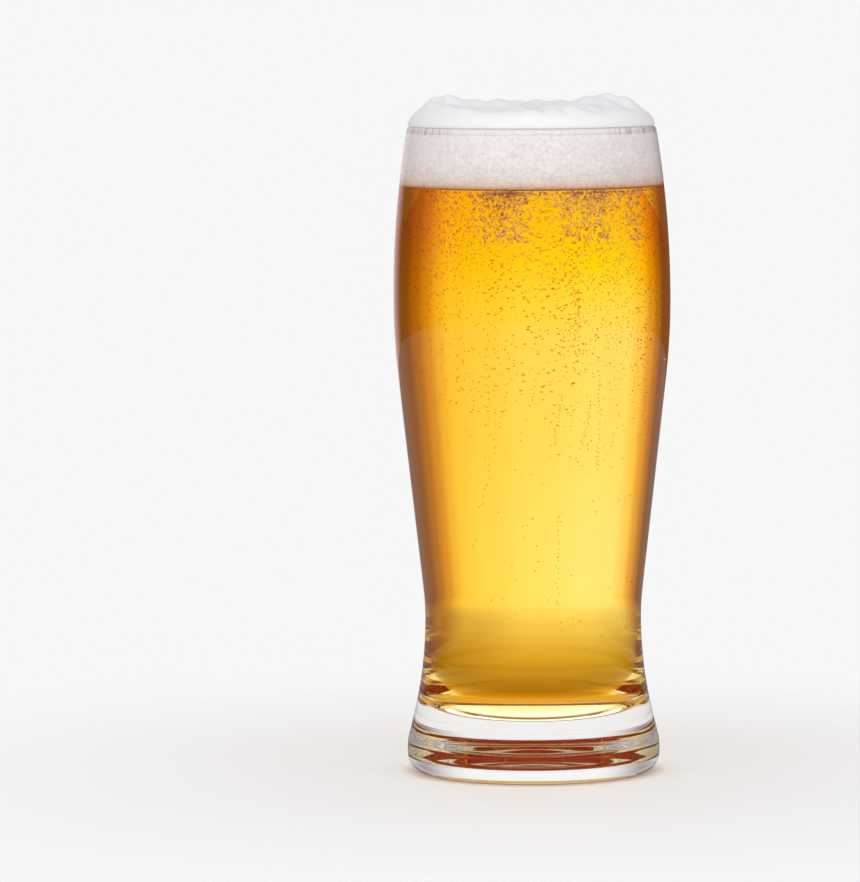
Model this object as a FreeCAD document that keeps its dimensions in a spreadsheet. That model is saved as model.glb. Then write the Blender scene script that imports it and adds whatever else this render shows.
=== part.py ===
"""A pint of lager: a waisted pint glass with a heavy clear foot, the beer that fills it,
and a head of foam that stands above the lip.

Millimetres. The origin is the centre of the underside of the foot, +Z is up, and all
but the uneven top of the foam is turned about Z.
"""
import FreeCAD
import Part

import math
import os

import Sketcher
from FreeCAD import Vector

# The driving sizes: name, value, what it measures.
SIZES = [
    ("glass_height", 184.0, "underside of the foot to the top of the lip"),
    ("rim_diameter", 70.9, "outside of the lip"),
    ("bulge_out", 3.95, "outside of the lip out to the widest place of the body"),
    ("bulge_drop", 49.0, "lip down to the widest place"),
    ("bulge_run", 22.0, "widest place down to where the taper is straight"),
    ("waist_in", 8.6, "widest place in to the narrowest"),
    ("waist_height", 44.0, "table up to the narrowest place"),
    ("waist_rise", 8.0, "narrowest place up to where the taper is straight"),
    ("waist_run", 28.0, "narrowest place down to where the flank is straight"),
    ("foot_out", 5.15, "narrowest place out to the foot's upright side"),
    ("foot_side", 8.0, "table up to the top of the foot's upright side"),
    ("foot_shoulder", 1.5, "height of the bend from that side to the flank"),
    ("foot_round", 5.0, "rounding from the foot's side to its underside"),
    ("wall", 2.3, "thickness of the wall, and of its full-round lip"),
    ("floor_height", 15.4, "table up to the inside floor"),
    ("floor_round", 9.5, "rounding from the inside floor to the wall"),
    ("ring_width", 4.95, "standing ring, from the foot's rounding in to the hollow"),
    ("punt_depth", 1.2, "depth of that hollow at its middle"),
    ("head_depth", 17.0, "lip down to where the foam meets the beer"),
    ("crown_inset", 0.8, "outside of the lip in to the edge of the foam"),
    ("crown_height", 7.9, "foam above the lip, without its swells"),
    ("crown_shoulder", 10.0, "width of the foam's rounded edge"),
    ("crown_swell", 0.9, "height of the swells on top of the foam"),
]

# The lines of the cross-section that bound each turned piece.
SECTIONS = {
    "glass": ["punt", "ring", "foot_round", "foot_side", "foot_shoulder", "flank", "waist_low",
              "waist_high", "taper", "bulge_low", "bulge_high", "lip", "inner_neck",
              "inner_bulge", "inner_low", "inner_taper", "floor_round", "floor", "axis_base"],
    "beer": ["floor", "floor_round", "inner_taper", "inner_low", "inner_bulge", "level",
             "axis_beer"],
    "foam_plug": ["level", "inner_neck", "lid", "axis_foam"],
}

CROWN_RING_POINTS = 36
CROWN_SHOULDER_RINGS = 6
CROWN_TOP_RINGS = (0.8, 0.55, 0.3)
CROWN_CAP = 0.1
SHOULDER_SQUARENESS = 1.7

START, END, CENTRE = 1, 2, 3
ROOT, ROOT_POINT, X_AXIS, Y_AXIS = -1, 1, -1, -2
UPRIGHT, HALF_TURN = 0.0, math.pi


def make_sheet(doc):
    """The spreadsheet of driving sizes: names in column A, aliased values in column B."""
    sheet = doc.addObject("Spreadsheet::Sheet", "Sizes")
    for row, (name, value, meaning) in enumerate(SIZES, start=1):
        sheet.set(f"A{row}", name)
        sheet.set(f"B{row}", str(value))
        sheet.set(f"C{row}", meaning)
        sheet.setAlias(f"B{row}", name)
    doc.recompute()
    return sheet


def lean(sideways, straight, bends):
    """The angle off upright of a straight run between two bends that start upright.

    A bend covers its height times the tangent of half the angle, sideways, so the angle
    is found by going round: each pass takes the bends' share from the last angle.
    """
    angle = 0.0
    for _ in range(60):
        share = (1 - math.tan(angle / 2) ** 2) / 2
        angle = math.atan2(sideways, straight + bends * share)
    return angle


def arc(x, y, radius, first, last):
    """An arc of the cross-section, from angle first round to angle last."""
    circle = Part.Circle(Vector(x, y, 0), Vector(0, 0, 1), radius)
    return Part.ArcOfCircle(circle, first, last)


def line(start, end):
    """A straight line of the cross-section."""
    return Part.LineSegment(Vector(*start, 0), Vector(*end, 0))


def turned(x, y, radius, angle):
    """The point of a circle at an angle."""
    return (x + radius * math.cos(angle), y + radius * math.sin(angle))


def section_shapes(size):
    """Every line of the cross-section by name: across is X, up is Y, half of it drawn."""
    half_wall = size.wall / 2
    bulge_x = size.rim_diameter / 2 + size.bulge_out
    waist_x = bulge_x - size.waist_in
    foot_x = waist_x + size.foot_out
    bulge_y, waist_y = size.glass_height - size.bulge_drop, size.waist_height
    lip_x, lip_y = size.rim_diameter / 2 - half_wall, size.glass_height - half_wall
    level_y = size.glass_height - size.head_depth

    taper_top, taper_foot = bulge_y - size.bulge_run, waist_y + size.waist_rise
    taper = lean(bulge_x - waist_x, taper_top - taper_foot, size.bulge_run + size.waist_rise)
    low = size.bulge_run / math.sin(taper)
    hollow_high = size.waist_rise / math.sin(taper)
    flank_top, flank_foot = waist_y - size.waist_run, size.foot_side + size.foot_shoulder
    flank = lean(foot_x - waist_x, flank_top - flank_foot, size.waist_run + size.foot_shoulder)
    hollow_low = size.waist_run / math.sin(flank)
    shoulder = size.foot_shoulder / math.sin(flank)

    # The arc from the widest place up touches the lip's circle from outside it.
    inward, above = bulge_x - lip_x, lip_y - bulge_y
    high = (inward ** 2 + above ** 2 - half_wall ** 2) / (2 * (inward - half_wall))
    neck = math.asin(above / (high - half_wall))
    level = math.asin((level_y - bulge_y) / (high - size.wall))

    low_x, high_x = bulge_x - low, bulge_x - high
    inner_foot = turned(low_x, bulge_y, low - size.wall, -taper)
    out_x, out_y = math.cos(taper), -math.sin(taper)
    round_y = size.floor_height + size.floor_round
    reach = inner_foot[0] * out_x + inner_foot[1] * out_y - size.floor_round
    round_x = (reach - round_y * out_y) / out_x

    punt_x = foot_x - size.foot_round - size.ring_width
    punt = (punt_x ** 2 + size.punt_depth ** 2) / (2 * size.punt_depth)
    punt_y = size.punt_depth - punt
    lid = turned(lip_x, lip_y, half_wall, neck + HALF_TURN)

    return {
        "punt": arc(0, punt_y, punt, math.atan2(-punt_y, punt_x), math.pi / 2),
        "ring": line((punt_x, 0), (foot_x - size.foot_round, 0)),
        "foot_round": arc(foot_x - size.foot_round, size.foot_round, size.foot_round,
                          -math.pi / 2, UPRIGHT),
        "foot_side": line((foot_x, size.foot_round), (foot_x, size.foot_side)),
        "foot_shoulder": arc(foot_x - shoulder, size.foot_side, shoulder, UPRIGHT, flank),
        "flank": line(turned(foot_x - shoulder, size.foot_side, shoulder, flank),
                      turned(waist_x + hollow_low, waist_y, hollow_low, HALF_TURN + flank)),
        "waist_low": arc(waist_x + hollow_low, waist_y, hollow_low, HALF_TURN, HALF_TURN + flank),
        "waist_high": arc(waist_x + hollow_high, waist_y, hollow_high, HALF_TURN - taper, HALF_TURN),
        "taper": line(turned(waist_x + hollow_high, waist_y, hollow_high, HALF_TURN - taper),
                      turned(low_x, bulge_y, low, -taper)),
        "bulge_low": arc(low_x, bulge_y, low, -taper, UPRIGHT),
        "bulge_high": arc(high_x, bulge_y, high, UPRIGHT, neck),
        "lip": arc(lip_x, lip_y, half_wall, neck, neck + HALF_TURN),
        "inner_neck": arc(high_x, bulge_y, high - size.wall, level, neck),
        "inner_bulge": arc(high_x, bulge_y, high - size.wall, UPRIGHT, level),
        "inner_low": arc(low_x, bulge_y, low - size.wall, -taper, UPRIGHT),
        "inner_taper": line(turned(round_x, round_y, size.floor_round, -taper), inner_foot),
        "floor_round": arc(round_x, round_y, size.floor_round, -math.pi / 2, -taper),
        "floor": line((0, size.floor_height), (round_x, size.floor_height)),
        "axis_base": line((0, size.punt_depth), (0, size.floor_height)),
        "axis_beer": line((0, size.floor_height), (0, level_y)),
        "level": line((0, level_y), turned(high_x, bulge_y, high - size.wall, level)),
        "axis_foam": line((0, level_y), (0, lid[1])),
        "lid": line((0, lid[1]), lid),
    }


# Where two lines of the cross-section run smoothly into each other, and where they only meet.
SMOOTH_JOINTS = [
    ("ring", END, "foot_round", START), ("foot_round", END, "foot_side", START),
    ("foot_side", END, "foot_shoulder", START), ("foot_shoulder", END, "flank", START),
    ("flank", END, "waist_low", END), ("waist_low", START, "waist_high", END),
    ("waist_high", START, "taper", START), ("taper", END, "bulge_low", START),
    ("bulge_low", END, "bulge_high", START), ("bulge_high", END, "lip", START),
    ("lip", END, "inner_neck", END), ("inner_neck", START, "inner_bulge", END),
    ("inner_bulge", START, "inner_low", END), ("inner_low", START, "inner_taper", END),
    ("inner_taper", START, "floor_round", END), ("floor_round", START, "floor", END),
]
CORNERS = [
    ("punt", START, "ring", START), ("punt", END, "axis_base", START),
    ("axis_base", END, "floor", START), ("axis_beer", START, "floor", START),
    ("axis_beer", END, "level", START), ("level", END, "inner_neck", START),
    ("axis_foam", START, "level", START), ("axis_foam", END, "lid", START),
    ("lid", END, "lip", END), ("inner_neck", CENTRE, "bulge_high", CENTRE),
    ("inner_low", CENTRE, "bulge_low", CENTRE),
]

# Dimensions of the cross-section: name, the point or line it holds, and what sets it.
BULGE = "Sizes.rim_diameter / 2 + Sizes.bulge_out"
WAIST = f"{BULGE} - Sizes.waist_in"
FOOT = f"{WAIST} + Sizes.foot_out"
ACROSS = [
    ("lip_across", "lip", CENTRE, "Sizes.rim_diameter / 2 - Sizes.wall / 2"),
    ("bulge_across", "bulge_high", START, BULGE),
    ("waist_across", "waist_low", START, WAIST),
    ("foot_across", "foot_side", END, FOOT),
    ("punt_across", "ring", START, f"{FOOT} - Sizes.foot_round - Sizes.ring_width"),
]
UP = [
    ("lip_up", "lip", CENTRE, "Sizes.glass_height - Sizes.wall / 2"),
    ("bulge_up", "bulge_high", START, "Sizes.glass_height - Sizes.bulge_drop"),
    ("taper_top_up", "taper", END, "Sizes.glass_height - Sizes.bulge_drop - Sizes.bulge_run"),
    ("taper_foot_up", "taper", START, "Sizes.waist_height + Sizes.waist_rise"),
    ("waist_up", "waist_low", START, "Sizes.waist_height"),
    ("flank_top_up", "flank", END, "Sizes.waist_height - Sizes.waist_run"),
    ("flank_foot_up", "flank", START, "Sizes.foot_side + Sizes.foot_shoulder"),
    ("foot_up", "foot_side", END, "Sizes.foot_side"),
    ("punt_up", "punt", END, "Sizes.punt_depth"),
    ("floor_up", "floor", START, "Sizes.floor_height"),
    ("level_up", "level", START, "Sizes.glass_height - Sizes.head_depth"),
]
RADII = [
    ("lip_radius", "lip", "Sizes.wall / 2"),
    ("foot_radius", "foot_round", "Sizes.foot_round"),
    ("floor_radius", "floor_round", "Sizes.floor_round"),
]


def draw_section(sketch, size, bounding):
    """Draw the whole cross-section in one sketch, bound to the sheet. The lines named in
    bounding are real, and the rest are construction that holds them in place."""
    shapes = section_shapes(size)
    number = {name: index for index, name in enumerate(shapes)}
    for name, shape in shapes.items():
        sketch.addGeometry(shape, name not in bounding)

    hold = []
    for first, first_end, second, second_end in SMOOTH_JOINTS:
        hold.append(Sketcher.Constraint("Tangent", number[first], first_end, number[second], second_end))
    for first, first_end, second, second_end in CORNERS:
        hold.append(Sketcher.Constraint("Coincident", number[first], first_end, number[second], second_end))
    for name, end in [("punt", END), ("punt", CENTRE), ("floor", START), ("level", START), ("lid", START)]:
        hold.append(Sketcher.Constraint("PointOnObject", number[name], end, Y_AXIS))
    hold.append(Sketcher.Constraint("PointOnObject", number["ring"], START, X_AXIS))
    for name in ("ring", "floor", "level", "lid"):
        hold.append(Sketcher.Constraint("Horizontal", number[name]))
    for name in ("bulge_high", "waist_low"):
        hold.append(Sketcher.Constraint("Horizontal", number[name], START, number[name], CENTRE))
    hold.append(Sketcher.Constraint("Vertical", number["foot_side"]))
    hold.append(Sketcher.Constraint("Parallel", number["inner_taper"], number["taper"]))
    hold.append(Sketcher.Constraint("Equal", number["inner_neck"], number["inner_bulge"]))
    sketch.addConstraint(hold)

    for kind, dimensions in (("DistanceX", ACROSS), ("DistanceY", UP)):
        for name, shape, end, formula in dimensions:
            point = end_point(shapes[shape], end)
            now = point.x if kind == "DistanceX" else point.y
            bind(sketch, Sketcher.Constraint(kind, ROOT, ROOT_POINT, number[shape], end, now), name, formula)
    for name, shape, formula in RADII:
        bind(sketch, Sketcher.Constraint("Radius", number[shape], shapes[shape].Radius), name, formula)


def end_point(shape, end):
    """The start, end or centre point of a line or an arc."""
    if end == CENTRE:
        return shape.Center
    return shape.StartPoint if end == START else shape.EndPoint


def bind(sketch, constraint, name, formula):
    """Add a dimension to a sketch, name it, and tie it to the sheet."""
    index = sketch.addConstraint(constraint)
    sketch.renameConstraint(index, name)
    sketch.setExpression(f"Constraints.{name}", formula)


def make_turned(doc, size, name):
    """A body turned from the cross-section: a full turn about the glass's axis."""
    body = doc.addObject("PartDesign::Body", f"{name}_body")
    body.Label = name
    body.Placement = FreeCAD.Placement()
    sketch = body.newObject("Sketcher::SketchObject", f"{name}_section")
    plane = next(item for item in body.Origin.OriginFeatures if item.Role == "XZ_Plane")
    sketch.AttachmentSupport = [(plane, "")]
    sketch.MapMode = "FlatFace"
    draw_section(sketch, size, SECTIONS[name])
    doc.recompute()
    turn = body.newObject("PartDesign::Revolution", f"{name}_turn")
    turn.Profile = sketch
    turn.ReferenceAxis = (sketch, ["V_Axis"])
    turn.Angle = 360
    body.Tip = turn
    doc.recompute()
    return body


def swell(size, share, angle):
    """Height of the foam's swells at a share of its radius: two humps across from each
    other, one the higher, with five smaller lobes, all fading to none at the middle."""
    humps = 0.75 * math.cos(2 * angle) + 0.25 * math.cos(angle)
    lobes = 0.3 * math.cos(5 * angle + 0.6)
    return size.crown_swell * share * (humps + lobes)


def crown_ring(size, radius, rise, swells=1):
    """A closed smooth ring of the foam's top, rise being its share of the full height.
    All rings share one even spacing of parameters, which keeps the skin through them light."""
    edge = size.rim_diameter / 2 - size.crown_inset
    points = []
    for step in range(CROWN_RING_POINTS):
        angle = 2 * math.pi * step / CROWN_RING_POINTS
        top = size.crown_height + size.wall / 2 + swells * swell(size, radius / edge, angle)
        x, y = turned(0, 0, radius, angle)
        points.append(Vector(x, y, size.glass_height - size.wall / 2 + rise * top))
    curve = Part.BSplineCurve()
    spacing = [float(step) for step in range(CROWN_RING_POINTS + 1)]
    curve.interpolate(Points=points, PeriodicFlag=True, Parameters=spacing)
    return Part.Wire([curve.toShape()])


def make_crown(doc, size):
    """The foam above the lip, before the lip is cut out of it: rings from inside the
    lip up a squarish shoulder and in over the swells to a small level cap."""
    edge = size.rim_diameter / 2 - size.crown_inset
    inner = edge - size.crown_shoulder
    below = crown_ring(size, edge, 0)
    below.translate(Vector(0, 0, -size.wall / 2))
    rings = [below]
    for step in range(CROWN_SHOULDER_RINGS + 1):
        turn = math.pi / 2 * step / CROWN_SHOULDER_RINGS
        power = 2 / SHOULDER_SQUARENESS
        radius = inner + size.crown_shoulder * abs(math.cos(turn)) ** power
        rings.append(crown_ring(size, radius, math.sin(turn) ** power))
    for share in CROWN_TOP_RINGS:
        rings.append(crown_ring(size, inner * share, 1))
    rings.append(crown_ring(size, inner * CROWN_CAP, 1, swells=0))
    crown = doc.addObject("Part::Feature", "crown")
    crown.Shape = Part.makeLoft(rings, True, False)
    crown.Placement = FreeCAD.Placement()
    return crown


def make_foam(doc, size, glass):
    """The head: foam inside the neck joined to the crown, with the glass cut out so that
    it lies on the wall and over the lip."""
    head = doc.addObject("Part::Fuse", "head_blank")
    head.Base = make_turned(doc, size, "foam_plug")
    head.Tool = make_crown(doc, size)
    foam = doc.addObject("Part::Cut", "foam")
    foam.Base = head
    foam.Tool = glass
    foam.Label = "foam_head"
    foam.Placement = FreeCAD.Placement()
    return foam


def check(doc, pieces):
    """Stop if anything in the document failed, or a piece isn't one valid solid."""
    failed = [item.Name for item in doc.Objects if {"Invalid", "Error"} & set(item.State)]
    if failed:
        raise RuntimeError(f"failed objects: {failed}")
    for piece in pieces:
        shape = piece.Shape
        if shape.isNull() or not shape.isValid() or len(shape.Solids) != 1:
            raise RuntimeError(f"{piece.Label} is not one valid solid")


class Sizes:
    """The sheet's values, read back from it by name."""

    def __init__(self, sheet):
        for name, _, _ in SIZES:
            setattr(self, name, float(sheet.get(name)))


document = FreeCAD.newDocument("pint_of_lager")
sizes = Sizes(make_sheet(document))
glass_body = make_turned(document, sizes, "glass")
beer_body = make_turned(document, sizes, "beer")
foam_body = make_foam(document, sizes, glass_body)
document.recompute()

sub_parts = [glass_body, beer_body, foam_body]
check(document, sub_parts)
os.makedirs("parts", exist_ok=True)
for sub_part in sub_parts:
    sub_part.Shape.exportStep(f"parts/{sub_part.Label}.step")
    print(sub_part.Label, round(sub_part.Shape.Volume / 1000, 2), "ml")
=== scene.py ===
import math

import bpy
import numpy as np
from mathutils import Matrix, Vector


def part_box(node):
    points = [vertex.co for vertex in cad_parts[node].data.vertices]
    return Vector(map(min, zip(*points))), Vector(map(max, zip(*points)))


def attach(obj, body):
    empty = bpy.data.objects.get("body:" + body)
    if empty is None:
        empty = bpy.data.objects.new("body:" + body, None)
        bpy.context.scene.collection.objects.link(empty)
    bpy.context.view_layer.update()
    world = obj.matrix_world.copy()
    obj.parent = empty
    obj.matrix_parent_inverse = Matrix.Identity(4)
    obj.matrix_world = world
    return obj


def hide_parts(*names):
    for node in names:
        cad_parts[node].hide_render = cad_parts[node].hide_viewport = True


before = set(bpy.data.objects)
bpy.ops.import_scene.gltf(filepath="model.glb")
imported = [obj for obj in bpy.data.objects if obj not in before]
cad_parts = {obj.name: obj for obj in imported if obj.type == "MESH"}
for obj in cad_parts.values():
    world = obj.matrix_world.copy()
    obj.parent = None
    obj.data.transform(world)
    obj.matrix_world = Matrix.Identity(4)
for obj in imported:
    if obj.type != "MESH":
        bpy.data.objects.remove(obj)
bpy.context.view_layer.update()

# --- Camera ---------------------------------------------------------------------------
# A long lens from just above the lip, a little left of the glass, so that it stands
# right of the middle of the view.
_, glass_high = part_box("glass")
glass_height = glass_high.z
camera_data = bpy.data.cameras.new("camera")
camera_data.sensor_width = 36.0
camera_data.lens = 240.4
camera_data.clip_start = 0.01
camera_data.clip_end = 50.0
camera = bpy.data.objects.new("camera", camera_data)
bpy.context.scene.collection.objects.link(camera)
camera_distance = 9.094 * glass_height
camera_height = 1.2444 * glass_height
camera_turn = math.radians(1.0)
camera_dip = math.radians(4.60)
camera_roll = math.radians(-0.3)
camera.matrix_world = (
    Matrix.Translation((0.0, -camera_distance, camera_height))
    @ Matrix.Rotation(camera_turn, 4, "Z")
    @ Matrix.Rotation(math.radians(90.0) - camera_dip, 4, "X")
    @ Matrix.Rotation(camera_roll, 4, "Z")
)
bpy.context.scene.camera = camera

# --- Studio ---------------------------------------------------------------------------
# Soft light all round. What shines through the glass is a bright field that turns amber
# below the table's edge, with a dark flag at each corner of the room, which draws the dark
# edges of a filled glass; what the glass mirrors is dimmer in front.
scene = bpy.context.scene
scene.view_settings.view_transform = "Standard"
scene.view_settings.look = "None"
scene.cycles.use_denoising = True
scene.cycles.max_bounces = 64
scene.cycles.transmission_bounces = 64
scene.cycles.glossy_bounces = 60
scene.cycles.diffuse_bounces = 6
scene.cycles.transparent_max_bounces = 12
scene.cycles.blur_glossy = 0.0

world = bpy.data.worlds.new("studio")
scene.world = world
world.use_nodes = True
world.cycles.sampling_method = "NONE"
nodes, links = world.node_tree.nodes, world.node_tree.links
nodes.clear()
direction = nodes.new("ShaderNodeTexCoord")
split = nodes.new("ShaderNodeSeparateXYZ")
links.new(direction.outputs["Generated"], split.inputs[0])


def feed(socket, value):
    """Sets a socket from another socket, a number or a colour."""
    if isinstance(value, bpy.types.NodeSocket):
        links.new(value, socket)
    elif isinstance(value, tuple):
        socket.default_value = (*value, 1.0)
    else:
        socket.default_value = value


def math_node(operation, first, second=0.0):
    """A math node fed by sockets or numbers; returns its result socket."""
    node = nodes.new("ShaderNodeMath")
    node.operation = operation
    feed(node.inputs[0], first)
    feed(node.inputs[1], second)
    return node.outputs[0]


def mix_node(blend, factor, first, second):
    """A colour mix of sockets or colours; returns its result socket."""
    node = nodes.new("ShaderNodeMix")
    node.data_type = "RGBA"
    node.blend_type = blend
    feed(node.inputs["Factor"], factor)
    feed(node.inputs["A"], first)
    feed(node.inputs["B"], second)
    return node.outputs["Result"]


def ramp_node(place, stops, smooth="LINEAR"):
    """A colour ramp of (place, colour) stops; returns its colour socket."""
    node = nodes.new("ShaderNodeValToRGB")
    node.color_ramp.interpolation = smooth
    elements = node.color_ramp.elements
    while len(elements) < len(stops):
        elements.new(0.5)
    for element, (position, colour) in zip(elements, stops):
        element.position = position
        element.color = (*colour, 1.0)
    links.new(place, node.inputs[0])
    return node.outputs[0]


def grey(value):
    """A neutral colour."""
    return (value, value, value)


def round_to(degrees):
    """A compass angle, 0 behind the glass and 90 to its right, as a place on a ramp."""
    return degrees / 360.0 + 0.5


def up_to(degrees):
    """An elevation as a place on a ramp, 0 straight down to 1 straight up."""
    return degrees / 180.0 + 0.5


def compass(x, y):
    """The compass angle of a direction as a place on a ramp: the angle whose tangent is x
    over y, in whole turns, plus a half."""
    angle = math_node("ARCTAN2", x, y)
    return math_node("ADD", math_node("DIVIDE", angle, 2 * math.pi), 0.5)


azimuth = compass(split.outputs["X"], split.outputs["Y"])
elevation = math_node("ARCSINE", split.outputs["Z"])
elevation = math_node("ADD", math_node("DIVIDE", elevation, math.pi), 0.5)

white = grey(1.0)
black = grey(0.0)

# Through the beer: a bright field by height, which the flags darken round the compass.
dark_flag = (0.23, 0.085, 0.02)
round_flags = [
    (round_to(-170), white), (round_to(-145), dark_flag), (round_to(-120), dark_flag),
    (round_to(-100), white), (round_to(-80), white), (round_to(-64), dark_flag),
    (round_to(-50), dark_flag), (round_to(-43), (0.48, 0.21, 0.04)),
    (round_to(-37), (0.76, 0.40, 0.07)), (round_to(-30), (1.0, 0.74, 0.30)),
    (round_to(-24), (1.0, 0.93, 0.70)), (round_to(-12), white), (round_to(0), (1.0, 0.96, 0.75)),
    (round_to(10), (1.0, 0.85, 0.42)), (round_to(19), (1.0, 0.74, 0.20)),
    (round_to(23), (0.86, 0.56, 0.10)), (round_to(28), (0.66, 0.31, 0.02)),
    (round_to(34), (0.42, 0.17, 0.02)), (round_to(43), dark_flag), (round_to(62), dark_flag),
    (round_to(80), white), (round_to(100), white), (round_to(120), dark_flag),
    (round_to(145), dark_flag), (round_to(170), white),
]
flags = ramp_node(azimuth, round_flags, "EASE")
flag_height = ramp_node(elevation, [
    (up_to(-60), black), (up_to(-30), white), (up_to(12), white), (up_to(35), black),
])
field = ramp_node(elevation, [
    (up_to(-90), (0.30, 0.22, 0.10)), (up_to(-16), (0.34, 0.24, 0.005)),
    (up_to(-11), (0.44, 0.28, 0.001)), (up_to(-8), (0.50, 0.34, 0.001)),
    (up_to(-6), (0.52, 0.43, 0.002)), (up_to(-4.2), (0.53, 0.56, 0.004)),
    (up_to(-3), (0.54, 0.61, 0.50)), (up_to(-1.8), (0.54, 0.61, 0.84)),
    (up_to(-0.6), (0.54, 0.61, 0.96)), (up_to(0.8), (0.54, 0.61, 0.94)),
    (up_to(2.2), (0.53, 0.60, 0.80)), (up_to(5), (0.48, 0.48, 0.50)),
    (up_to(26), grey(0.50)), (up_to(45), grey(0.60)), (up_to(90), grey(0.42)),
])
through = mix_node("MULTIPLY", flag_height, field, flags)

# Through clear glass alone: an even, neutral field with paler flags.
clear_field = ramp_node(elevation, [
    (up_to(-30), grey(0.36)), (up_to(-6), (0.285, 0.282, 0.305)), (up_to(-2), (0.33, 0.325, 0.345)),
    (up_to(3), grey(0.40)), (up_to(40), grey(0.41)), (up_to(90), grey(0.36)),
])
pale_flag = (0.42, 0.36, 0.37)
clear_flags = ramp_node(azimuth, [
    (round_to(-170), white), (round_to(-135), pale_flag), (round_to(-100), white),
    (round_to(-80), white), (round_to(-50), pale_flag), (round_to(-20), white),
    (round_to(20), white), (round_to(50), pale_flag), (round_to(80), white),
    (round_to(100), white), (round_to(135), pale_flag), (round_to(170), white),
], "EASE")
clear_field = mix_node("MULTIPLY", flag_height, clear_field, clear_flags)

# Mirrored by the outside faces: dim, but for a pale panel behind the glass on the left.
mirrored = ramp_node(azimuth, [
    (round_to(-110), grey(0.02)), (round_to(-75), (0.03, 0.012, 0.003)),
    (round_to(-40), (0.04, 0.016, 0.008)), (round_to(-22), (0.30, 0.25, 0.25)),
    (round_to(-3), (0.34, 0.29, 0.30)), (round_to(8), (0.07, 0.03, 0.025)),
    (round_to(75), (0.03, 0.012, 0.003)), (round_to(110), grey(0.02)),
], "EASE")
overhead = ramp_node(elevation, [(up_to(20), black), (up_to(60), white)])
mirrored = mix_node("MIX", overhead, mirrored, grey(0.42))

# On matt surfaces: soft light, strongest from the front.
soft = ramp_node(azimuth, [
    (round_to(-180), grey(0.84)), (round_to(-135), grey(0.69)), (round_to(-90), grey(0.18)),
    (round_to(0), grey(0.34)), (round_to(90), grey(0.16)), (round_to(135), grey(0.63)),
    (round_to(180), grey(0.84)),
], "EASE")
soft = mix_node("MIX", overhead, soft, (0.37, 0.37, 0.385))


def light_paths():
    """What a ray has met so far, each 0 or 1: whether it was scattered, whether it was
    mirrored by an outside face first, and whether it has been through the beer."""
    seen = nodes.new("ShaderNodeLightPath")
    scattered = math_node("MINIMUM", seen.outputs["Diffuse Depth"], 1.0)
    outside = math_node("LESS_THAN", seen.outputs["Transmission Depth"], 0.5)
    bounced = math_node("MULTIPLY", math_node("MINIMUM", seen.outputs["Glossy Depth"], 1.0), outside)
    filled = math_node("GREATER_THAN", seen.outputs["Transmission Depth"], 3.5)
    return seen.outputs["Is Camera Ray"], scattered, bounced, filled


studio_strength = 2.4
direct, scattered, bounced, filled = light_paths()
light = mix_node("MIX", filled, clear_field, through)
light = mix_node("MIX", bounced, light, mirrored)
light = mix_node("MIX", scattered, light, soft)
studio = nodes.new("ShaderNodeBackground")
studio.inputs["Strength"].default_value = studio_strength
links.new(light, studio.inputs["Color"])
backdrop = nodes.new("ShaderNodeBackground")
backdrop.inputs["Color"].default_value = (0.93, 0.93, 0.935, 1.0)
choose = nodes.new("ShaderNodeMixShader")
links.new(direct, choose.inputs[0])
links.new(studio.outputs[0], choose.inputs[1])
links.new(backdrop.outputs[0], choose.inputs[2])
world_out = nodes.new("ShaderNodeOutputWorld")
links.new(choose.outputs[0], world_out.inputs[0])

# --- Floor ----------------------------------------------------------------------------
# A pale matt table top under the glass, which fades into the backdrop at a distance. Seen
# through the glass it is not lit but glows with painted light and shade: through the beer a
# painted amber pool of light, with painted shade next to the foot and to the sides; through
# clear glass a painted grey, a little darker next to the foot.


def add_piece(name, points, faces, smooth=True):
    """An object at the origin whose mesh holds the points and faces as given."""
    mesh = bpy.data.meshes.new(name)
    mesh.from_pydata(points, [], faces)
    if smooth:
        mesh.shade_smooth()
    piece = bpy.data.objects.new(name, mesh)
    bpy.context.scene.collection.objects.link(piece)
    return piece


def new_material(name):
    """An empty node material; returns it with its nodes, links and output."""
    material = bpy.data.materials.new(name)
    material.use_nodes = True
    tree = material.node_tree
    tree.nodes.clear()
    return material, tree.nodes, tree.links, tree.nodes.new("ShaderNodeOutputMaterial")


floor_radius = 1.2
floor_drop = 0.0001
floor_corners = 96
angles = np.linspace(0.0, 2.0 * math.pi, floor_corners, endpoint=False)
edge = np.stack([np.cos(angles), np.sin(angles)], axis=1) * floor_radius
floor = add_piece("floor", np.c_[edge, np.full(floor_corners, -floor_drop)],
                  [range(floor_corners)], smooth=False)

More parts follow.
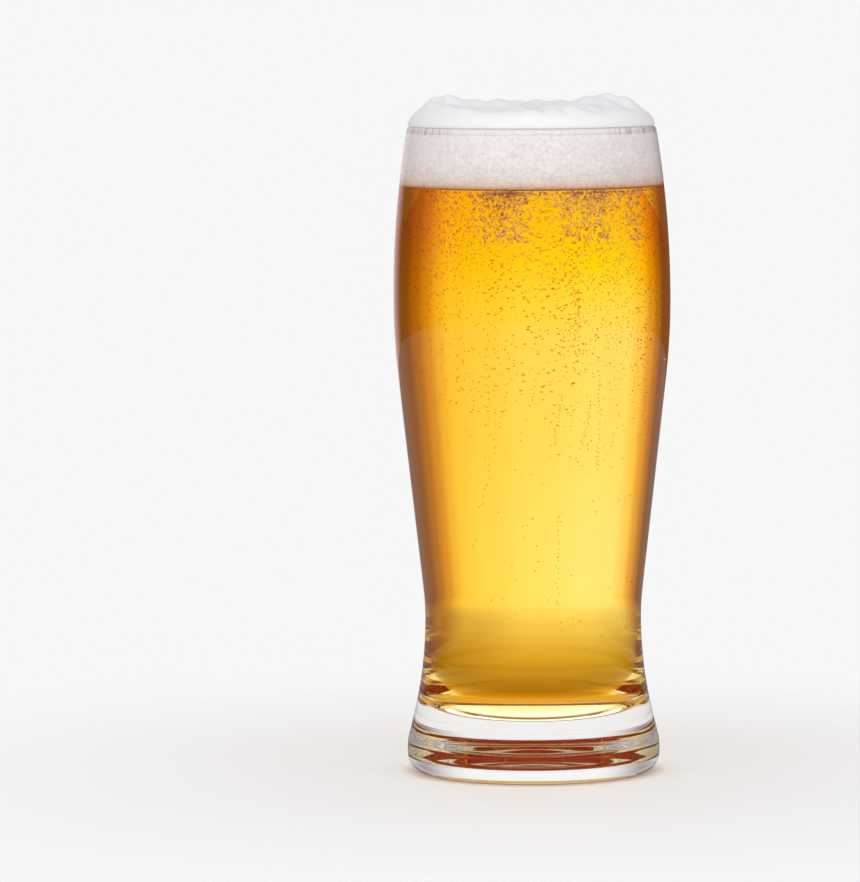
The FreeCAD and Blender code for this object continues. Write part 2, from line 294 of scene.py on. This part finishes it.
floor_material, nodes, links, out = new_material("pale_floor")
where = nodes.new("ShaderNodeTexCoord")
length = nodes.new("ShaderNodeVectorMath")
length.operation = "LENGTH"
links.new(where.outputs["Object"], length.inputs[0])
far = math_node("DIVIDE", length.outputs["Value"], floor_radius)
matte = nodes.new("ShaderNodeBsdfPrincipled")
matte.inputs["Base Color"].default_value = (0.97, 0.97, 0.975, 1.0)
matte.inputs["Roughness"].default_value = 0.7
unseen = nodes.new("ShaderNodeBsdfTransparent")
fade = ramp_node(far, [(0.05 / floor_radius, black), (0.26 / floor_radius, white)], "EASE")
pale = nodes.new("ShaderNodeMixShader")
links.new(fade, pale.inputs[0])
links.new(matte.outputs[0], pale.inputs[1])
links.new(unseen.outputs[0], pale.inputs[2])
# Painted light and shade on the floor as the beer sees it: dark under the foot, a ring of amber painted light
# round it, paling with distance.
painted_glow_through_beer = ramp_node(far, [
    (0.0, (0.16, 0.07, 0.03)), (0.034 / floor_radius, (0.22, 0.11, 0.02)),
    (0.041 / floor_radius, (0.42, 0.24, 0.03)), (0.047 / floor_radius, (0.32, 0.17, 0.02)),
    (0.058 / floor_radius, (0.19, 0.105, 0.006)), (0.075 / floor_radius, (0.22, 0.135, 0.012)),
    (0.110 / floor_radius, (0.30, 0.21, 0.04)), (0.16 / floor_radius, (0.38, 0.31, 0.13)),
    (0.22 / floor_radius, (0.45, 0.41, 0.25)), (0.35 / floor_radius, (0.50, 0.50, 0.45)),
    (0.55 / floor_radius, (0.52, 0.57, 0.70)), (0.9 / floor_radius, (0.53, 0.60, 0.86)),
    (1.0, (0.54, 0.61, 0.80)),
])
split = nodes.new("ShaderNodeSeparateXYZ")
links.new(where.outputs["Object"], split.inputs[0])
azimuth = compass(split.outputs["X"], split.outputs["Y"])
# Painted shade from the room's flags, which darkens the floor to the sides from a little way out from the
# foot.
flag_shade_reach = ramp_node(far, [(0.035 / floor_radius, black), (0.08 / floor_radius, white)])
painted_flag_shade = ramp_node(azimuth, [
    (round_to(-170), white), (round_to(-140), (0.32, 0.17, 0.03)), (round_to(-110), white),
    (round_to(-80), white), (round_to(-62), (0.32, 0.15, 0.02)),
    (round_to(-45), (0.48, 0.26, 0.05)), (round_to(-24), (0.88, 0.84, 0.70)),
    (round_to(-10), white), (round_to(0), (1.0, 0.98, 0.90)), (round_to(13), (0.80, 0.68, 0.42)),
    (round_to(28), (0.44, 0.26, 0.05)), (round_to(45), (0.32, 0.14, 0.02)), (round_to(80), white),
    (round_to(110), white), (round_to(140), (0.25, 0.15, 0.03)), (round_to(170), white),
], "EASE")
away = ramp_node(far, [(0.22 / floor_radius, black), (0.70 / floor_radius, white)], "EASE")
painted_flag_shade = mix_node("MIX", away, painted_flag_shade, ramp_node(azimuth, round_flags, "EASE"))
painted_glow_through_beer = mix_node("MULTIPLY", flag_shade_reach, painted_glow_through_beer, painted_flag_shade)
# Painted shade next to the foot, as clear glass sees the floor.
painted_glow_through_glass = ramp_node(far, [
    (0.034 / floor_radius, (0.34, 0.335, 0.34)), (0.048 / floor_radius, (0.39, 0.38, 0.375)),
    (0.3 / floor_radius, grey(0.40)),
])
# For every ray but the camera's the floor glows with these colours, painted light and shade in place of real
# lighting; in the glass's reflections it glows a dim grey, and onto matt surfaces it casts a mid grey glow.
direct, scattered, bounced, filled = light_paths()
colour = mix_node("MIX", filled, painted_glow_through_glass, painted_glow_through_beer)
colour = mix_node("MIX", bounced, colour, grey(0.10))
colour = mix_node("MIX", scattered, colour, grey(0.34))
lit = nodes.new("ShaderNodeEmission")
lit.inputs["Strength"].default_value = studio_strength
links.new(colour, lit.inputs["Color"])
choose = nodes.new("ShaderNodeMixShader")
links.new(direct, choose.inputs[0])
links.new(lit.outputs[0], choose.inputs[1])
links.new(pale.outputs[0], choose.inputs[2])
links.new(choose.outputs[0], out.inputs["Surface"])
floor.data.materials.append(floor_material)

# --- Glass ----------------------------------------------------------------------------
# The pint glass is one piece of clear soda-lime glass: a thin wall drawn in at the waist
# and a thick foot, whose underside is slightly hollow inside the ring that it stands on.
# The face that the beer wets bends light less than the dry faces do.
beer_low, beer_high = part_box("beer")


def points_of(node):
    """The points of a node's mesh, one row for each."""
    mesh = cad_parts[node].data
    points = np.empty(len(mesh.vertices) * 3)
    mesh.vertices.foreach_get("co", points)
    return points.reshape(-1, 3)


def outline_of(node):
    """The radius and height of a turned node's outline, from its lowest edge up: the
    farthest point from the axis at each height of its mesh."""
    points = points_of(node)
    order = np.argsort(points[:, 2])
    heights = np.round(points[order, 2], 6)
    radii = np.hypot(points[order, 0], points[order, 1])
    levels, starts = np.unique(heights, return_index=True)
    return np.maximum.reduceat(radii, starts), levels


def finely(radii, heights, steps):
    """Points at even steps along a smooth line through the given ones: a cubic on each
    span, whose slope at a point is the mean of the slopes beside it, the shorter span
    counting more. Returns radii, heights and the line's outward normals."""
    spans = np.hypot(np.diff(radii), np.diff(heights))
    keep = np.r_[True, spans > 1e-6]
    radii, heights = radii[keep], heights[keep]
    spans = np.hypot(np.diff(radii), np.diff(heights))
    along = np.r_[0.0, np.cumsum(spans)]
    place = np.linspace(0.0, along[-1], steps)
    span = np.clip(np.searchsorted(along, place, side="right") - 1, 0, len(spans) - 1)
    t = (place - along[span]) / spans[span]
    result = []
    for values in (radii, heights):
        slopes = np.diff(values) / spans
        inner = (slopes[:-1] * spans[1:] + slopes[1:] * spans[:-1]) / (spans[1:] + spans[:-1])
        tangents = np.r_[slopes[0], inner, slopes[-1]]
        result.append(
            values[span] * (2 * t**3 - 3 * t**2 + 1) + values[span + 1] * (3 * t**2 - 2 * t**3)
            + spans[span] * (tangents[span] * (t**3 - 2 * t**2 + t) + tangents[span + 1] * (t**3 - t**2))
        )
    out_r, out_z = np.gradient(result[1], place), -np.gradient(result[0], place)
    size = np.hypot(out_r, out_z)
    return result[0], result[1], out_r / size, out_z / size


def turned_faces(rows, columns):
    """The faces of a closed turned surface, given as rows of points round the axis from
    one pole to the other: quads between rows, and one flat face at each pole."""
    index = np.arange(rows * columns).reshape(rows, columns)
    right = np.roll(index, -1, axis=1)
    quads = np.stack([index[:-1], right[:-1], right[1:], index[1:]], axis=-1).reshape(-1, 4)
    return quads.tolist() + [index[0, ::-1].tolist(), index[-1].tolist()]


def turned_points(radii, heights, columns):
    """The points of a turned surface: each radius carried round the axis at its height."""
    turn = np.linspace(0.0, 2.0 * math.pi, columns, endpoint=False)
    across = np.stack([radii[:, None] * np.cos(turn), radii[:, None] * np.sin(turn)], axis=-1)
    level = np.repeat(heights[:, None], columns, axis=1)[..., None]
    return np.concatenate([across, level], axis=-1).reshape(-1, 3)


# The wall's thickness, and how far from the axis the rows of a turned surface stop.
wall = 0.0023
pole = 0.0004

# The hollow under the foot: its edge is the inside of the standing ring.
foot_points = points_of("glass")
foot_reach = np.hypot(foot_points[:, 0], foot_points[:, 1])
ring_inner = foot_reach[foot_points[:, 2] < 1e-6].min()
hollow = foot_points[(foot_reach < ring_inner) & (foot_points[:, 2] < beer_low.z / 2), 2].max()

# The inside face follows the beer and the foam; the outside face is what is left of the
# glass's own outline, and a half circle of the wall's width joins the two at the lip.
beer_r, beer_z = outline_of("beer")
head_r, head_z = outline_of("foam_head")
outer_r, outer_z = outline_of("glass")
neck = (head_z > beer_high.z + 1e-6) & (head_z < glass_height - wall / 2 - 0.0004)
neck_r, neck_z = head_r[neck], head_z[neck]
inside = np.interp(outer_z, np.r_[beer_z, neck_z], np.r_[beer_r, neck_r], left=ring_inner)
outer = outer_r > inside + 0.49 * wall
outer_r, outer_z = outer_r[outer], outer_z[outer]
lip_r, lip_z = outer_r[-1], outer_z[-1] - wall / 2
lip_turn = np.linspace(0.5 * math.pi, 1.02 * math.pi, 14)
inner_lip_r, inner_lip_z = lip_r + wall / 2 * np.cos(lip_turn), lip_z + wall / 2 * np.sin(lip_turn)

hollow_r = np.linspace(pole, ring_inner, 20)
hollow_z = hollow * (1.0 - (hollow_r / ring_inner) ** 2)

side_r, side_z, _, _ = finely(outer_r, outer_z, 200)
top_r, top_z = inner_lip_r[1:-1], inner_lip_z[1:-1]
dry_r, dry_z, _, _ = finely(np.r_[inner_lip_r[-1], neck_r[::-1], beer_r[-1]],
                            np.r_[inner_lip_z[-1], neck_z[::-1], beer_z[-1]], 20)
wet_r, wet_z, _, _ = finely(beer_r[::-1], beer_z[::-1], 190)
level_rows = 13
base_r = np.linspace(wet_r[-1], pole, level_rows + 1)[1:]
glass_r = np.r_[hollow_r, side_r, top_r, dry_r, wet_r[1:], base_r]
glass_z = np.r_[hollow_z, side_z, top_z, dry_z, wet_z[1:], np.full(level_rows, beer_low.z)]
glass_columns = 192
glass = add_piece("pint_glass", turned_points(glass_r, glass_z, glass_columns),
                  turned_faces(len(glass_r), glass_columns))
wet_from = (len(glass_r) - len(base_r) - len(wet_r)) * glass_columns
wet = np.zeros(len(glass.data.polygons), dtype=np.int32)
wet[wet_from:-2] = 1
wet[-1] = 1


def uneven(scale, depth, strength):
    """A bump of soft noise in object space, for a surface that isn't quite even: the
    noise's value times the depth, taken at the given strength."""
    place = nodes.new("ShaderNodeTexCoord")
    noise = nodes.new("ShaderNodeTexNoise")
    noise.inputs["Scale"].default_value = scale
    noise.inputs["Detail"].default_value = 1.0
    links.new(place.outputs["Object"], noise.inputs["Vector"])
    bump = nodes.new("ShaderNodeBump")
    bump.inputs["Strength"].default_value = strength
    bump.inputs["Distance"].default_value = depth
    links.new(noise.outputs[0], bump.inputs["Height"])
    return bump.outputs[0]


glass_bend, beer_bend = 1.5, 1.34
for name, bend in (("clear_glass", glass_bend), ("clear_glass_wetted", glass_bend / beer_bend)):
    material, nodes, links, out = new_material(name)
    shader = nodes.new("ShaderNodeBsdfPrincipled")
    shader.inputs["Base Color"].default_value = (0.985, 0.992, 0.99, 1.0)
    shader.inputs["Transmission Weight"].default_value = 1.0
    shader.inputs["IOR"].default_value = bend
    shader.inputs["Roughness"].default_value = 0.0
    links.new(uneven(55.0, 0.0002, 0.12), shader.inputs["Normal"])
    links.new(shader.outputs[0], out.inputs["Surface"])
    glass.data.materials.append(material)
glass.data.polygons.foreach_set("material_index", wet)
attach(glass, "root")
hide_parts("glass")

# --- Beer -----------------------------------------------------------------------------
# Clear golden lager fills the glass up to the foam. It reaches a little way into the
# wall, so that there is no gap; the bend where it meets the glass is set on the glass, and
# its colour comes from the depth of beer that the light has crossed.
into_wall = 0.00015
skin_r, skin_z, out_r, out_z = finely(beer_r, beer_z, 170)
skin_r, skin_z = skin_r + into_wall * out_r, skin_z + into_wall * out_z
skin_z[-1] = beer_high.z
under_rows = 8
floor_r = np.linspace(pole, skin_r[0], under_rows, endpoint=False)
level_r = np.linspace(skin_r[-1], pole, level_rows + 1)[1:]
lager_r = np.r_[floor_r, skin_r, level_r]
lager_z = np.r_[np.full(under_rows, skin_z[0]), skin_z, np.full(level_rows, beer_high.z)]
lager_columns = 160
lager = add_piece("lager", turned_points(lager_r, lager_z, lager_columns),
                  turned_faces(len(lager_r), lager_columns))

beer_material, nodes, links, out = new_material("golden_lager")
where = nodes.new("ShaderNodeTexCoord")
haze = nodes.new("ShaderNodeTexNoise")
haze.inputs["Scale"].default_value = 28.0
links.new(where.outputs["Object"], haze.inputs["Vector"])
tint = ramp_node(haze.outputs[0], [(0.35, (0.985, 0.975, 0.95)), (0.6, white)])
shader = nodes.new("ShaderNodeBsdfPrincipled")
links.new(tint, shader.inputs["Base Color"])
shader.inputs["Transmission Weight"].default_value = 1.0
shader.inputs["IOR"].default_value = 1.0
shader.inputs["Roughness"].default_value = 0.0
links.new(shader.outputs[0], out.inputs["Surface"])
absorb = nodes.new("ShaderNodeVolumeAbsorption")
absorb.inputs["Color"].default_value = (0.979, 0.829, 0.144, 1.0)
absorb.inputs["Density"].default_value = 50.0
links.new(absorb.outputs[0], out.inputs["Volume"])
lager.data.materials.append(beer_material)
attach(lager, "root")
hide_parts("beer")

# --- Foam -----------------------------------------------------------------------------
# The head is a thick wet foam of small air cells, raised by pouring the beer: it floats
# on the beer, presses against the wall and stands above the lip as a smooth cushion.
# Against the glass the cells lie flat, as soft polygons, smaller and browner at the beer.
foam_columns = 704
band_rows = 68
chance = np.random.default_rng(11)
band_r, band_z, _, _ = finely(np.r_[beer_r[-1], neck_r], np.r_[beer_high.z, neck_z], band_rows)
band_r = band_r + into_wall
lip_turn = np.radians(np.linspace(172.0, 72.0, 9))
over_r = lip_r + (wall / 2 - into_wall) * np.cos(lip_turn)
over_z = lip_z + (wall / 2 - into_wall) * np.sin(lip_turn)
rise = np.linspace(0.0, 0.5 * math.pi, 400)
crown_r = over_r[-1] * np.cos(rise) + pole
crown_height = 0.0067
crown_z = over_z[-1] + crown_height * np.sqrt(1.0 - np.cos(rise) ** 7)
crown_r, crown_z, _, _ = finely(crown_r, crown_z, 58)
under_r = np.linspace(pole, band_r[0] - 0.0005, under_rows)
foam_r = np.r_[under_r, band_r, over_r, crown_r[1:]]
foam_z = np.r_[np.full(under_rows, beer_high.z - 0.0003), band_z, over_z, crown_z[1:]]
foam_points = turned_points(foam_r, foam_z, foam_columns)
foam_x, foam_y = foam_points[:, 0].copy(), foam_points[:, 1].copy()

# The cushion has a hump on the left and a larger one on the right, each a bell curve, and
# soft folds, where waves of five lengths add up. Both ease to nothing at the lip.
hump = 0.0007 * np.exp(-((foam_x + 0.024) ** 2 + (foam_y + 0.003) ** 2) / (2 * 0.007**2))
hump = hump + 0.0009 * np.exp(-((foam_x - 0.020) ** 2 + (foam_y + 0.002) ** 2) / (2 * 0.009**2))
folds = np.zeros(len(foam_points))
for wave, weight in ((0.030, 1.0), (0.021, 0.9), (0.015, 0.7), (0.011, 0.45), (0.008, 0.25)):
    heading, start = chance.uniform(0.0, 2 * math.pi, 2)
    across = foam_x * math.cos(heading) + foam_y * math.sin(heading)
    folds = folds + weight * np.cos(2 * math.pi * across / wave + start)
pillow = np.sqrt(folds**2 + 0.02) - 1.0
reach = np.hypot(foam_x, foam_y) / over_r[-1]
on_crown = np.repeat(np.arange(len(foam_r)) > under_rows + band_rows + len(over_r) - 1, foam_columns)
ease = np.clip((1.0 - reach) / 0.22, 0.0, 1.0)
ease = on_crown * ease * ease * (3.0 - 2.0 * ease)
fold_depth = 0.0010
foam_points[:, 2] += ease * (hump + fold_depth * pillow)

# Cells on the band against the glass: each point belongs to the cell whose centre is
# nearest, counted in that cell's own size, and sinks a little near the cell's border.
cell_count = 2600
border_width = 0.00040
border_depth = 0.00014
cell_z = beer_high.z - 0.0005 + chance.random(cell_count) ** 1.9 * (band_z[-1] - beer_high.z + 0.001)
cell_x = chance.uniform(-math.pi, math.pi, cell_count) * band_r[0]
cell_up = np.clip((cell_z - beer_high.z) / 0.015, 0.0, 1.0)
cell_size = (0.55 + 0.45 * cell_up) * chance.uniform(0.7, 1.3, cell_count)
cell_size = np.where(chance.random(cell_count) < 0.04, cell_size * 1.7, cell_size)
cell_tone = chance.random(cell_count)
turn = np.linspace(0.0, 2.0 * math.pi, foam_columns, endpoint=False)
arc = (np.mod(turn + math.pi, 2 * math.pi) - math.pi) * band_r[0]
border = np.ones((len(foam_r), foam_columns))
tone = np.full((len(foam_r), foam_columns), 0.5)
for row in range(band_rows):
    apart = np.abs(arc[:, None] - cell_x[None, :])
    apart = np.minimum(apart, 2 * math.pi * band_r[0] - apart)
    nearness = np.hypot(apart, band_z[row] - cell_z[None, :]) / cell_size
    first = nearness.argmin(axis=1)
    each = np.arange(foam_columns)
    nearest = nearness[each, first]
    nearness[each, first] = 1.0
    border[under_rows + row] = np.clip((nearness.min(axis=1) - nearest) / border_width, 0.0, 1.0)
    tone[under_rows + row] = cell_tone[first]
sink = (1.0 - border) ** 2
sink[under_rows] = 0.0
foam_points[:, :2] *= (1.0 - border_depth * sink.reshape(-1, 1) / band_r[0])
foam_head = add_piece("foam_head_mesh", foam_points, turned_faces(len(foam_r), foam_columns))
for name, values in (("border", border), ("tone", tone)):
    attribute = foam_head.data.attributes.new(name, "FLOAT", "POINT")
    attribute.data.foreach_set("value", values.ravel())

foam_material, nodes, links, out = new_material("foam")
where = nodes.new("ShaderNodeTexCoord")
split = nodes.new("ShaderNodeSeparateXYZ")
links.new(where.outputs["Object"], split.inputs[0])
# The foam's colours go by height: from 0 at the beer to 1 at the ramp's height above it.
ramp_height = 0.03
above = math_node("SUBTRACT", split.outputs["Z"], beer_high.z)
above = math_node("DIVIDE", above, ramp_height)

# Towards the beer the cells turn brown. Their borders are darker than their middles: partly the wet walls
# between the cells, partly painted shade where the borders sink.
cells = {}
for name in ("border", "tone"):
    cells[name] = nodes.new("ShaderNodeAttribute")
    cells[name].attribute_name = name
small = nodes.new("ShaderNodeTexVoronoi")
small.feature = "DISTANCE_TO_EDGE"
small.inputs["Scale"].default_value = 950.0
links.new(where.outputs["Object"], small.inputs["Vector"])
small_edge = math_node("MINIMUM", math_node("MULTIPLY", small.outputs["Distance"], 9.0), 1.0)
# The band behind the glass is painted almost white and the foam above the lip grey: painted light that makes
# up for what the wall takes from the band, and painted shade that tones down the crown.
body = ramp_node(above, [
    (0.0, (0.46, 0.22, 0.10)), (0.012, (0.76, 0.50, 0.32)), (0.035, (0.91, 0.77, 0.65)),
    (0.09, (0.975, 0.935, 0.91)), (0.25, (0.985, 0.963, 0.965)), (0.53, (0.988, 0.972, 0.976)),
    (0.575, (0.80, 0.788, 0.80)), (1.0, (0.81, 0.802, 0.817)),
])
# Border colour: the browner wet walls between cells, darkened further as painted shade.
edges = ramp_node(above, [
    (0.0, (0.36, 0.14, 0.05)), (0.06, (0.58, 0.36, 0.24)), (0.2, (0.68, 0.56, 0.54)),
    (0.55, (0.72, 0.63, 0.63)), (0.58, (0.66, 0.62, 0.63)), (0.75, (0.78, 0.76, 0.77)),
])
gap = math_node("SUBTRACT", 1.0, cells["border"].outputs["Fac"])
body = mix_node("MIX", math_node("MULTIPLY", math_node("POWER", gap, 2.0), 0.38), body, edges)
band = ramp_node(above, [(0.55, white), (0.60, grey(0.8)), (0.76, grey(0.15)), (0.85, grey(0.15))])
# Finer cells in the band, with a little painted shade along their borders.
fine_gap = math_node("MULTIPLY", math_node("SUBTRACT", 1.0, small_edge), 0.10)
body = mix_node("MIX", math_node("MULTIPLY", fine_gap, band), body, edges)

# Each cell has its own tone. Two thin painted shade lines mark the lip, standing in for the
# dark line that the glass rim throws, and under it, to the sides, short upright dark ticks
# paint the comb of light and shade that the rim's curve casts as a lens.
shade = math_node("ADD", math_node("MULTIPLY", cells["tone"].outputs["Fac"], 0.05), 0.965)
body = mix_node("MULTIPLY", 1.0, body, shade)
# Painted shade: thin dark lines at the lip.
painted_lip_shade = ramp_node(above, [
    (0.0, white), (0.49, white), (0.505, (0.88, 0.85, 0.85)), (0.52, white), (0.552, white),
    (0.560, (0.66, 0.60, 0.62)), (0.566, (0.66, 0.60, 0.62)), (0.573, white),
])
body = mix_node("MULTIPLY", 1.0, body, painted_lip_shade)
# Painted shade: noise stretched upright into dark ticks under the lip, to the sides.
stretched_upright = nodes.new("ShaderNodeVectorMath")
stretched_upright.operation = "MULTIPLY"
links.new(where.outputs["Object"], stretched_upright.inputs[0])
stretched_upright.inputs[1].default_value = (1.0, 1.0, 0.08)
rim_shade_ticks = nodes.new("ShaderNodeTexNoise")
rim_shade_ticks.inputs["Scale"].default_value = 1100.0
rim_shade_ticks.inputs["Detail"].default_value = 0.0
links.new(stretched_upright.outputs["Vector"], rim_shade_ticks.inputs["Vector"])
rim_shade_ticks = ramp_node(rim_shade_ticks.outputs[0], [(0.50, black), (0.60, white)])
under_lip = ramp_node(above, [(0.485, black), (0.500, white), (0.530, white), (0.545, black)])
aside = math_node("ABSOLUTE", math_node("DIVIDE", split.outputs["X"], 0.036))
aside = ramp_node(aside, [(0.55, black), (0.75, white)])
painted_rim_comb = math_node("MULTIPLY", math_node("MULTIPLY", rim_shade_ticks, under_lip), math_node("MULTIPLY", aside, 0.5))
body = mix_node("MIX", painted_rim_comb, body, (0.36, 0.31, 0.31))

bump = nodes.new("ShaderNodeBump")
bump.inputs["Strength"].default_value = 0.5
bump.inputs["Distance"].default_value = 0.0001
fine = nodes.new("ShaderNodeTexNoise")
fine.inputs["Scale"].default_value = 900.0
links.new(where.outputs["Object"], fine.inputs["Vector"])
relief = math_node("MULTIPLY", math_node("SUBTRACT", 1.0, math_node("POWER", gap, 2.0)), 3.0)
relief = math_node("ADD", relief, math_node("MULTIPLY", small_edge, band))
links.new(math_node("ADD", relief, fine.outputs[0]), bump.inputs["Height"])
foam_shader = nodes.new("ShaderNodeBsdfPrincipled")
foam_shader.inputs["Roughness"].default_value = 0.55
foam_shader.inputs["Specular IOR Level"].default_value = 0.3
links.new(body, foam_shader.inputs["Base Color"])
links.new(bump.outputs[0], foam_shader.inputs["Normal"])
links.new(foam_shader.outputs[0], out.inputs["Surface"])
foam_head.data.materials.append(foam_material)
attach(foam_head, "root")
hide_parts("foam_head")

# --- Wall bubbles ---------------------------------------------------------------------
# Pinheads of gas that cling to the inside of the wall, in patches and spread all round,
# thickest in the top third of the beer. The ones that the curve of the far wall would draw
# out into a streak stand on the near wall instead.


def ball_of(belts, columns):
    """A ball of radius 1 as belts of points between two poles: the points, the caps'
    triangles and the quads between belts."""
    turn = np.linspace(0.0, 2.0 * math.pi, columns, endpoint=False)
    tilt = (np.arange(belts) + 0.5) / belts * math.pi - 0.5 * math.pi
    belt = np.stack([np.outer(np.cos(tilt), np.cos(turn)), np.outer(np.cos(tilt), np.sin(turn)),
                     np.repeat(np.sin(tilt)[:, None], columns, axis=1)], axis=-1).reshape(-1, 3)
    points = np.r_[[[0.0, 0.0, -1.0]], belt, [[0.0, 0.0, 1.0]]]
    index = np.arange(belts * columns).reshape(belts, columns) + 1
    beside = np.roll(index, -1, axis=1)
    low = np.c_[np.zeros(columns, int), beside[0], index[0]]
    high = np.c_[np.full(columns, belts * columns + 1), index[-1], beside[-1]]
    quads = np.stack([index[:-1], beside[:-1], beside[1:], index[1:]], axis=-1).reshape(-1, 4)
    return points, np.r_[low, high], quads


def add_bubbles(name, centres, radii, belts, columns):
    """One mesh of round bubbles: a ball times each radius, moved to each centre."""
    ball, caps, quads = ball_of(belts, columns)
    points = centres[:, None, :] + radii[:, None, None] * ball
    start = len(ball) * np.arange(len(centres))[:, None, None]
    faces = (caps + start).reshape(-1, 3).tolist() + (quads + start).reshape(-1, 4).tolist()
    return add_piece(name, points.reshape(-1, 3), faces)


def bubble_material(name, tints, clear):
    """A shiny material, clear by the share given, whose tint drifts between two colours
    with a soft noise in object space."""
    material, nodes, links, out = new_material(name)
    where = nodes.new("ShaderNodeTexCoord")
    patchy = nodes.new("ShaderNodeTexNoise")
    patchy.inputs["Scale"].default_value = 60.0
    links.new(where.outputs["Object"], patchy.inputs["Vector"])
    drift = nodes.new("ShaderNodeValToRGB")
    for element, position, tint in zip(drift.color_ramp.elements, (0.35, 0.65), tints):
        element.position = position
        element.color = (*tint, 1.0)
    links.new(patchy.outputs[0], drift.inputs[0])
    shader = nodes.new("ShaderNodeBsdfPrincipled")
    links.new(drift.outputs[0], shader.inputs["Base Color"])
    shader.inputs["Transmission Weight"].default_value = clear
    shader.inputs["IOR"].default_value = 1.22
    shader.inputs["Roughness"].default_value = 0.0
    links.new(shader.outputs[0], out.inputs["Surface"])
    return material


def inside_wall(height, gap):
    """How far from the axis the inside of the wall is at a height, less a gap."""
    return np.interp(height, beer_z, beer_r) - gap


off_wall = 0.00005
patches = 60
in_patch = 50
patch_count = patches * in_patch
spread_count = 2400
patch_turn = np.r_[chance.normal(-2.45, 0.25, 16), chance.normal(1.12, 0.28, 22),
                   chance.uniform(-math.pi, math.pi, 22)]
patch_depth = -np.log(chance.uniform(0.02, 1.0, patches)) * 0.021
around = np.r_[np.repeat(patch_turn, in_patch) + chance.normal(0.0, 0.2, patch_count),
               chance.uniform(-math.pi, math.pi, spread_count)]
deep = np.r_[np.repeat(patch_depth, in_patch) + chance.normal(0.0, 0.007, patch_count),
             -np.log(chance.uniform(0.02, 1.0, spread_count)) * 0.018]
deep = np.clip(np.abs(deep), 0.0008, 0.14)
streaky = (np.sin(around) > -0.2) & (np.abs(np.cos(around)) > 0.2)
around = np.where(streaky, -np.abs(around), around)
size = 0.00014 + 0.00015 * chance.random(patch_count + spread_count) ** 1.5
height = beer_high.z - deep
reach = inside_wall(height, size + off_wall)
wall_bubbles = add_bubbles("wall_bubbles", np.c_[reach * np.cos(around), reach * np.sin(around), height],
                           size, 3, 6)
wall_bubbles.data.materials.append(
    bubble_material("wall_bubbles", ((0.86, 0.58, 0.30), (0.96, 0.78, 0.55)), 1.0))
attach(wall_bubbles, "root")

# --- Foam line bubbles ----------------------------------------------------------------
# Rafts of larger bubbles, caught against the wall just under the foam and about to join
# it. Each raft narrows downwards, and its bubbles are milkier than the small ones.
raft_turn = np.radians([-109.0, -101.0, -95.0, -73.0, -64.0, -56.0, -38.0])
raft_wide = np.radians([6.0, 6.0, 5.0, 6.0, 6.0, 6.0, 5.0])
in_raft = 140
raft_count = in_raft * len(raft_turn)
raft_depth = 0.014
deep = raft_depth * chance.random(raft_count) ** 1.9
narrow = 1.0 - 0.6 * deep / raft_depth
around = np.repeat(raft_wide, in_raft) * narrow * chance.normal(0.0, 1.0, raft_count)
around = np.repeat(raft_turn, in_raft) + around
size = chance.uniform(0.00026, 0.00044, raft_count)
height = beer_high.z - 0.0007 - deep
reach = inside_wall(height, size + off_wall + 0.0012 * chance.random(raft_count) ** 2)
raft_bubbles = add_bubbles("foam_line_bubbles", np.c_[reach * np.cos(around), reach * np.sin(around), height],
                           size, 5, 10)
raft_bubbles.data.materials.append(
    bubble_material("foam_line_bubbles", ((0.92, 0.72, 0.58), (0.98, 0.88, 0.80)), 0.9))
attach(raft_bubbles, "root")

# --- Rising bubbles -------------------------------------------------------------------
# Beads of gas on their way up: strings, each let go by one speck on the glass, and loose
# ones all through the beer. A string runs straight between its two ends but for a slight
# wander of each bead.
strings = np.array([
    [0.0156, -0.012, 0.088, 0.0158, -0.012, 0.115], [0.0040, 0.008, 0.094, 0.0060, 0.008, 0.109],
    [0.0110, -0.005, 0.095, 0.0130, -0.004, 0.107], [-0.0047, -0.006, 0.114, -0.0115, -0.005, 0.077],
    [-0.0180, 0.010, 0.060, -0.0175, 0.011, 0.098], [0.0060, -0.018, 0.050, 0.0066, -0.018, 0.076],
    [-0.0080, 0.016, 0.100, -0.0084, 0.016, 0.140], [0.0230, 0.006, 0.100, 0.0236, 0.005, 0.128],
])
in_string = 22
loose_count = 260
step = np.linspace(0.0, 1.0, in_string)[None, :, None]
beads = strings[:, None, :3] + (strings[:, None, 3:] - strings[:, None, :3]) * step
beads = beads + chance.normal(0.0, 0.00025, beads.shape)
loose_turn = chance.uniform(-math.pi, math.pi, loose_count)
loose_height = chance.uniform(beer_low.z + 0.012, beer_high.z - 0.003, loose_count)
loose_reach = inside_wall(loose_height, 0.002) * np.sqrt(chance.random(loose_count))
loose = np.c_[loose_reach * np.cos(loose_turn), loose_reach * np.sin(loose_turn), loose_height]
size = np.r_[chance.uniform(0.00016, 0.00024, len(strings) * in_string),
             chance.uniform(0.00012, 0.00025, loose_count)]
rising_bubbles = add_bubbles("rising_bubbles", np.r_[beads.reshape(-1, 3), loose], size, 4, 8)
rising_bubbles.data.materials.append(
    bubble_material("rising_bubbles", ((0.88, 0.68, 0.50), (0.97, 0.86, 0.74)), 1.0))
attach(rising_bubbles, "root")
